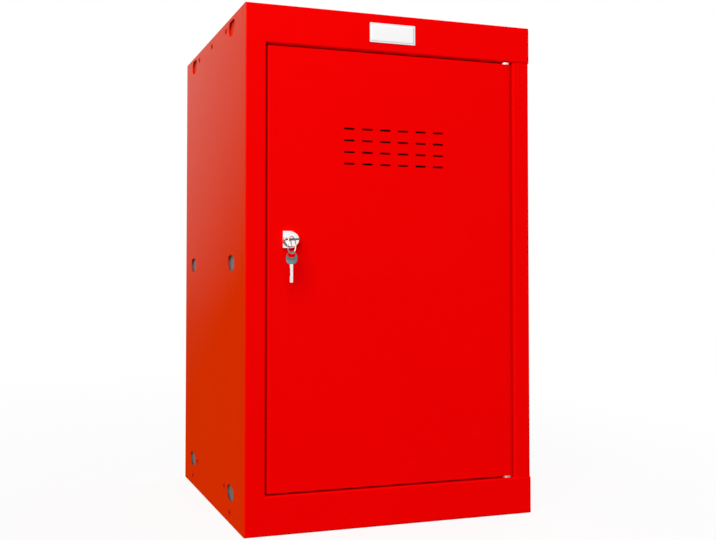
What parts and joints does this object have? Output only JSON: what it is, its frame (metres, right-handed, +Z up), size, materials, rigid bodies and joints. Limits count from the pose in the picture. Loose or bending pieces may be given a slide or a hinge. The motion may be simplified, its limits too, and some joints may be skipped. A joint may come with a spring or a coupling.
{
  "type": "cube locker",
  "caption": "Upright red steel cube locker with a hinged vented door, a cam lock with its key in, a spare key on a ring and a bare badge plate.",
  "frame": {"origin": "on the floor, under the middle of the box round the whole object with its keys", "axes": "+Z up, front of the locker towards -Y, hinge post on the +X side"},
  "size_m": [0.3866, 0.4255, 0.64],
  "materials": {
    "red_paint": "smooth semi-gloss red powder coat",
    "grey_paint": "matt grey coat",
    "zinc_steel": "bright zinc plate",
    "lock_chrome": "bright chrome plate",
    "key_steel": "nickel-plated key steel",
    "key_grip": "grey moulded key bow",
    "badge_white": "white plate with a thin silver border"
  },
  "bodies": {
    "cabinet": {"front_frame": "red_paint", "hinge_post": "red_paint", "left_side_panel": "red_paint", "right_side_panel": "red_paint", "roof_pan": "red_paint", "base_pan": "red_paint", "back_panel": "red_paint", "left_slot_plates": "grey_paint", "right_slot_plates": "grey_paint", "left_roof_rivets": "red_paint", "right_roof_rivets": "red_paint", "left_base_rivets": "red_paint", "right_base_rivets": "red_paint", "badge_plate": "badge_white", "upper_hinge_plate": "zinc_steel", "lower_hinge_plate": "zinc_steel", "upper_pivot_pin": "zinc_steel", "lower_pivot_pin": "zinc_steel", "upper_pivot_washer": "zinc_steel", "lower_pivot_washer": "zinc_steel"},
    "door": {"door_skin": "red_paint", "door_stiffener": "red_paint", "upper_pivot_bracket": "zinc_steel", "lower_pivot_bracket": "zinc_steel", "lock_housing": "lock_chrome", "lock_nut": "zinc_steel"},
    "lock": {"lock_plug": "lock_chrome", "lock_cam": "zinc_steel", "cam_screw": "zinc_steel"},
    "key": {"key_blade": "key_steel", "key_bow": "key_grip"},
    "ring": {"key_ring": "key_steel"},
    "spare_key": {"spare_key_blade": "key_steel", "spare_key_bow": "key_grip"}
  },
  "joints": [
    {"name": "door_hinge", "type": "hinge", "parent": "cabinet", "child": "door", "pos_m": [0.1608, -0.17236, 0.32], "axis": [0, 0, 1], "range_deg": [0, 90]},
    {"name": "key_turn", "type": "hinge", "parent": "door", "child": "lock", "pos_m": [-0.1361, -0.18806, 0.3545], "axis": [0, -1, 0], "range_deg": [0, 90]},
    {"name": "key_pull", "type": "slide", "parent": "lock", "child": "key", "axis": [0, -1, 0], "range_m": [0, 0.026]},
    {"name": "ring_hang", "type": "hinge", "parent": "key", "child": "ring", "pos_m": [-0.1361, -0.19916, 0.3545], "axis": [0, -1, 0], "range_deg": [-90, 0]},
    {"name": "spare_key_swing", "type": "hinge", "parent": "ring", "child": "spare_key", "pos_m": [-0.14101, -0.20443, 0.33659], "axis": [-0.682, -0.7314, 0], "range_deg": [-30, 30]}
  ],
  "couplings": [
    {"joint": "ring_hang", "follows": "key_turn", "ratio": -1}
  ]
}
